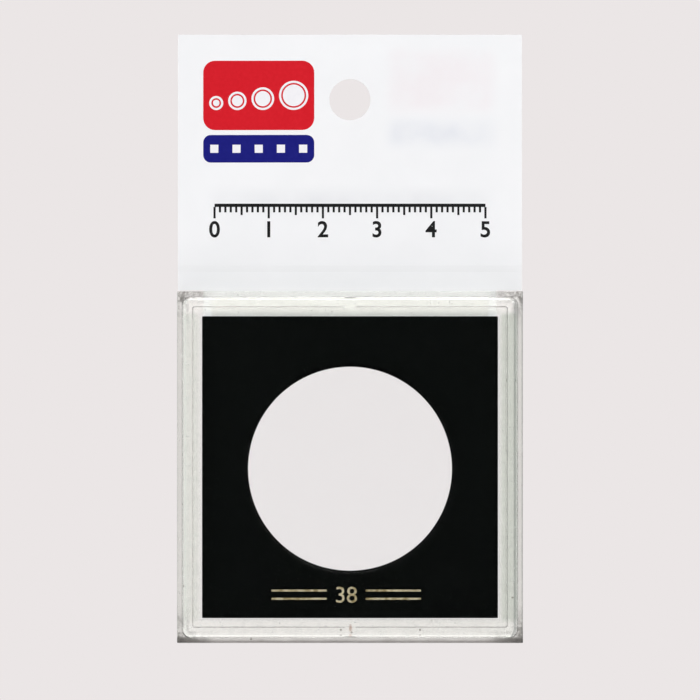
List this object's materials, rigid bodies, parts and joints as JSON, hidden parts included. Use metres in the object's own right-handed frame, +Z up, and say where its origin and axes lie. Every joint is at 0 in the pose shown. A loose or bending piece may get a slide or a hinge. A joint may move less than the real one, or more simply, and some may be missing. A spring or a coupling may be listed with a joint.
{
  "type": "coin holder",
  "caption": "Clear coin holder that pushes together around a black insert with a round coin hole, hung from a white film header with a peg hole.",
  "frame": {"origin": "centre of the hang hole, midway between the header's two leaves", "axes": "+Z up, from the holder to the header; +X to the right seen from the front; the front of the holder faces -Y"},
  "size_m": [0.0636, 0.0066, 0.112],
  "materials": {
    "clear_polystyrene": "clear moulded polystyrene, polished, with fine handling scuffs",
    "black_board": "black plastic board with a fine satin grain",
    "white_film": "white polythene film, glossy, softly creased",
    "white_tape": "white tissue double-sided tape"
  },
  "bodies": {
    "header": {"header_front_leaf": "white_film", "header_back_leaf": "white_film", "header_top_weld": "white_film", "header_lower_weld": "white_film"},
    "tray": {"back_tray": "clear_polystyrene", "header_tail": "white_film", "adhesive_strip": "white_tape"},
    "lid": {"front_lid": "clear_polystyrene"},
    "insert": {"coin_insert": "black_board"}
  },
  "joints": [
    {"name": "header_fold", "type": "hinge", "parent": "header", "child": "tray", "pos_m": [0, 0.00014, -0.0352], "axis": [1, 0, 0], "range_deg": [-80, 170]},
    {"name": "lid_pull", "type": "slide", "parent": "tray", "child": "lid", "axis": [0, -1, 0], "range_m": [0, 0.06]},
    {"name": "insert_lift", "type": "slide", "parent": "tray", "child": "insert", "axis": [0, -1, 0], "range_m": [0, 0.018]}
  ],
  "couplings": [
    {"joint": "insert_lift", "follows": "lid_pull", "ratio": 0.3}
  ]
}
